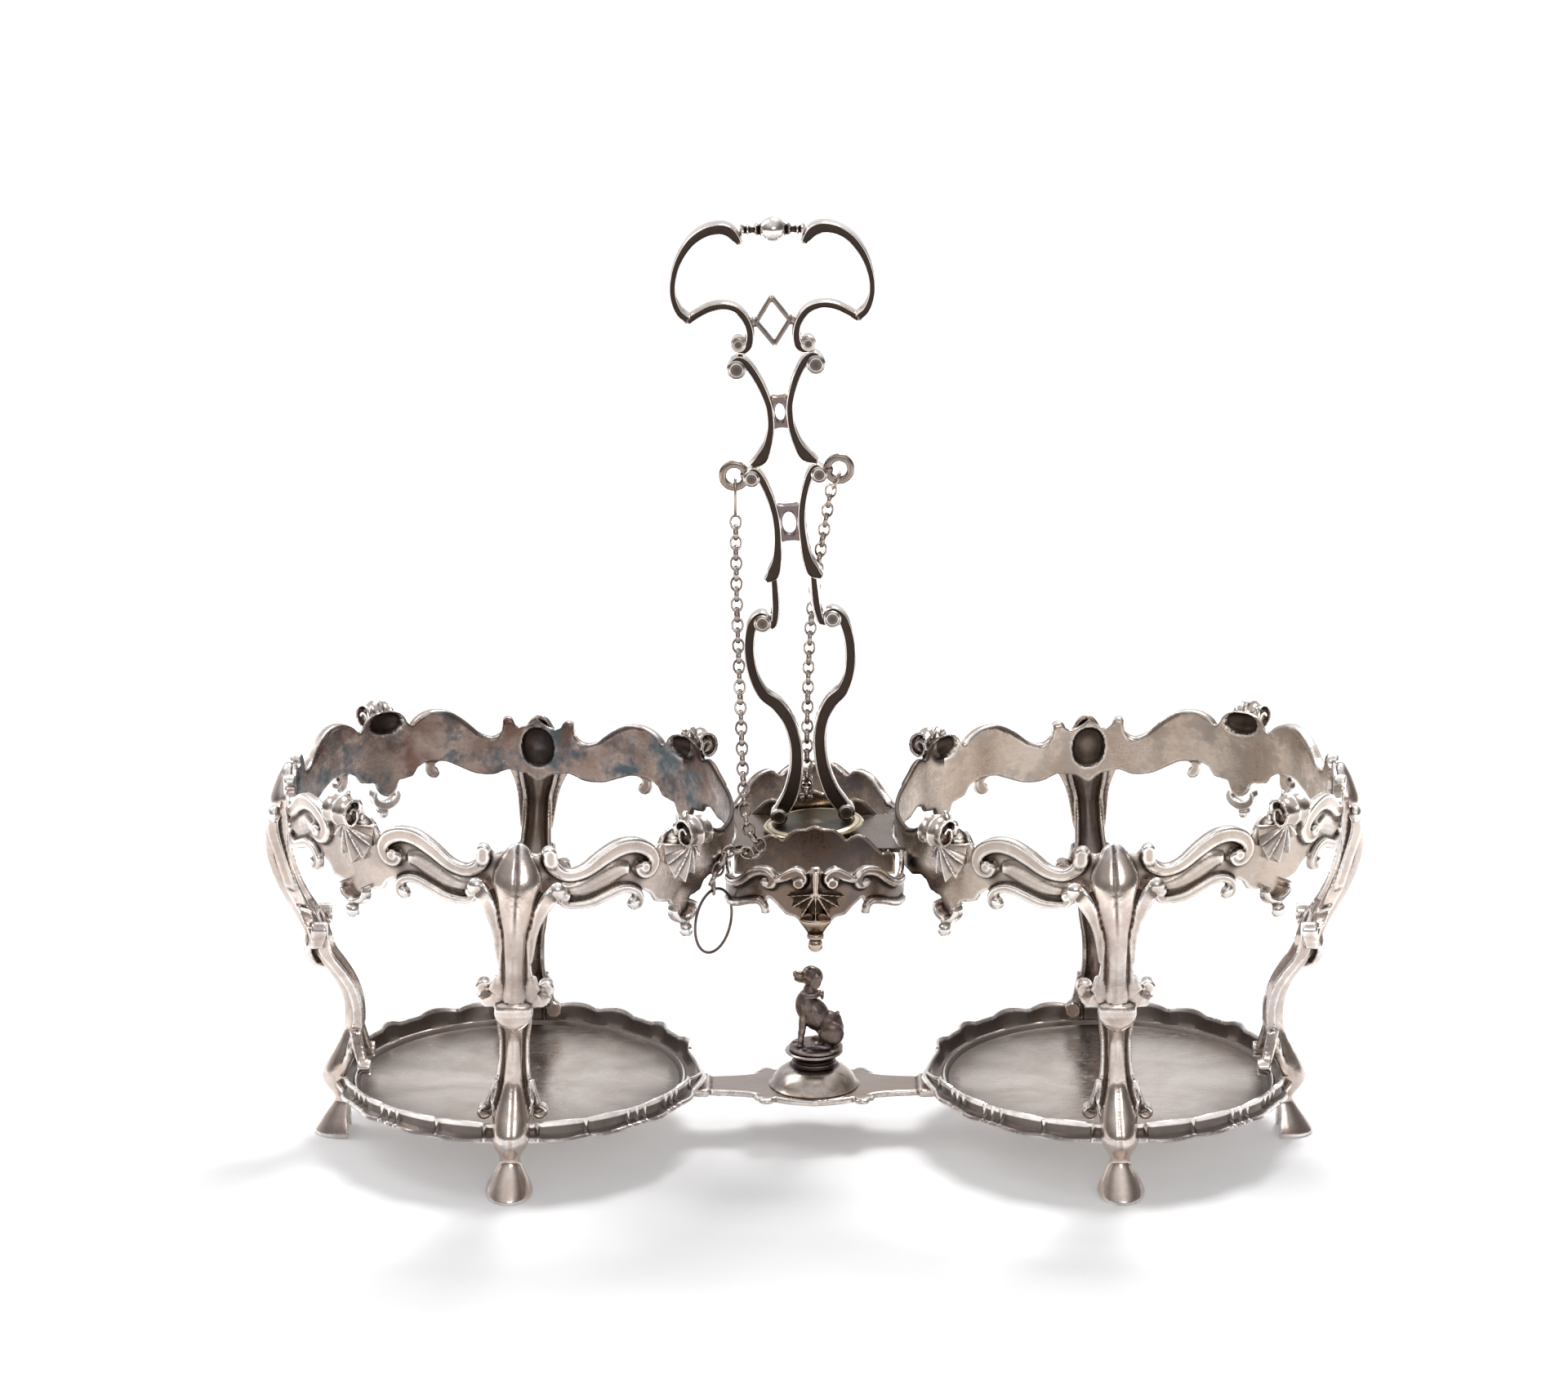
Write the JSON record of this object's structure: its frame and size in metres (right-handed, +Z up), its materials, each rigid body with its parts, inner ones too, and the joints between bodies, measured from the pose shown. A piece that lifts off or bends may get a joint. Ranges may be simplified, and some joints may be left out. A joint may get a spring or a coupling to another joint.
{
  "type": "cruet stand",
  "caption": "Cast silver cruet stand: bottle rings on scrolled legs, stopper rings, a carrying handle with chained stopper loops, and a seated dog between the plates.",
  "frame": {"origin": "on the table, under the middle of the stand", "axes": "+Z up; -Y is the front, towards which the picture looks; +X to the right, along the two bottle rings"},
  "size_m": [0.2952, 0.1322, 0.253],
  "materials": {
    "gallery_silver": "pierced cast silver, tarnished in the recesses",
    "cast_silver": "chased cast silver, bright on the high places",
    "sheet_silver": "hammered and planished silver sheet",
    "turned_silver": "turned and polished silver",
    "chain_silver": "dull silver chain",
    "wire_silver": "dark tarnished wire",
    "nut_brass": "dull brass"
  },
  "bodies": {
    "stand": {"gallery_right_front": "gallery_silver", "gallery_right_outer": "gallery_silver", "gallery_right_rear": "gallery_silver", "gallery_right_inner": "gallery_silver", "shell_right_front_outer": "cast_silver", "shell_right_front_inner": "cast_silver", "shell_right_rear_outer": "cast_silver", "shell_right_rear_inner": "cast_silver", "leg_right_front": "cast_silver", "leg_right_outer": "cast_silver", "leg_right_rear": "cast_silver", "plate_right": "sheet_silver", "gallery_left_front": "gallery_silver", "gallery_left_outer": "gallery_silver", "gallery_left_rear": "gallery_silver", "gallery_left_inner": "gallery_silver", "shell_left_front_outer": "cast_silver", "shell_left_front_inner": "cast_silver", "shell_left_rear_outer": "cast_silver", "shell_left_rear_inner": "cast_silver", "leg_left_front": "cast_silver", "leg_left_outer": "cast_silver", "leg_left_rear": "cast_silver", "plate_left": "sheet_silver", "bridge_plate": "sheet_silver", "dog_plinth": "turned_silver", "dog": "cast_silver", "stopper_ring_front": "gallery_silver", "stopper_panel_front": "gallery_silver", "stopper_shell_front": "cast_silver", "stopper_ring_rear": "gallery_silver", "stopper_panel_rear": "gallery_silver", "stopper_shell_rear": "cast_silver", "handle_platform": "sheet_silver", "handle_foot": "turned_silver", "handle_nut": "nut_brass", "stem_right": "cast_silver", "stem_left": "cast_silver", "tie_upper": "cast_silver", "tie_lower": "cast_silver", "grip_right": "cast_silver", "grip_left": "cast_silver", "grip_bar": "turned_silver", "grip_diamond": "cast_silver", "eye_right": "turned_silver", "eye_left": "turned_silver"},
    "chain_left": {"hook_left": "chain_silver", "chain_left": "chain_silver"},
    "loop_left": {"loop_ring_left": "chain_silver", "loop_left": "wire_silver"},
    "chain_right": {"hook_right": "chain_silver", "chain_right": "chain_silver"},
    "loop_right": {"loop_ring_right": "chain_silver", "loop_right": "wire_silver"}
  },
  "joints": [
    {"name": "chain_left_swing", "type": "hinge", "parent": "stand", "child": "chain_left", "pos_m": [-0.0204, 0, 0.1808], "axis": [1, 0, 0], "range_deg": [-60, 0]},
    {"name": "loop_left_swing", "type": "hinge", "parent": "chain_left", "child": "loop_left", "pos_m": [-0.0266, -0.0382, 0.08275], "axis": [0.9903, 0.1392, 0], "range_deg": [-30, 0]},
    {"name": "chain_right_swing", "type": "hinge", "parent": "stand", "child": "chain_right", "pos_m": [0.0069, 0, 0.1856], "axis": [0, 1, 0], "range_deg": [0, 6]},
    {"name": "loop_right_swing", "type": "hinge", "parent": "chain_right", "child": "loop_right", "pos_m": [-0.0021, 0.0266, 0.08725], "axis": [0, 1, 0], "range_deg": [-15, 15]}
  ]
}
